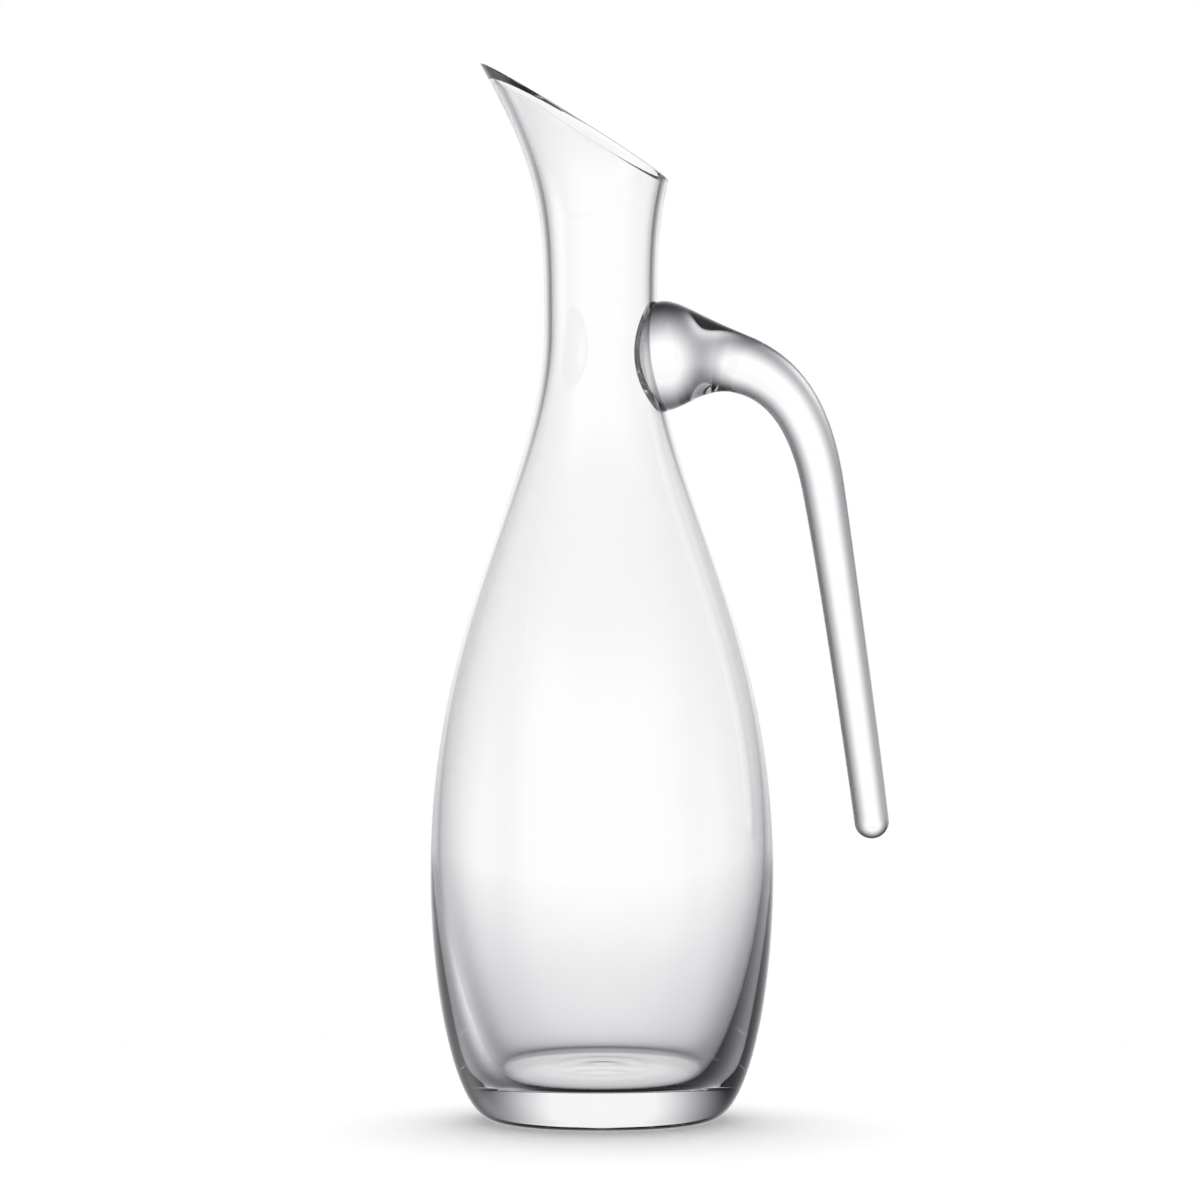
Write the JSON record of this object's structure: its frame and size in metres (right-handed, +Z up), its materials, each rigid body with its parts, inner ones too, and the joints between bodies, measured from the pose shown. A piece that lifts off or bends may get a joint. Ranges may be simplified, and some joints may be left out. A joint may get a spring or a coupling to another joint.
{
  "type": "wine carafe",
  "caption": "Clear glass wine carafe with a heavy base, long neck, slanted pouring lip and a solid hooked handle fused to the neck and free at its tip.",
  "frame": {"origin": "centre of the flat foot, on the vessel's axis and on the surface that it stands on", "axes": "+Z up along the vessel's axis, -X towards the tip of the pouring lip, +X towards the handle"},
  "size_m": [0.1485, 0.111, 0.342],
  "materials": {
    "vessel_glass": "clear, fire-polished",
    "handle_glass": "clear, fire-polished"
  },
  "bodies": {
    "root": {"vessel": "vessel_glass", "handle": "handle_glass"}
  },
  "joints": []
}
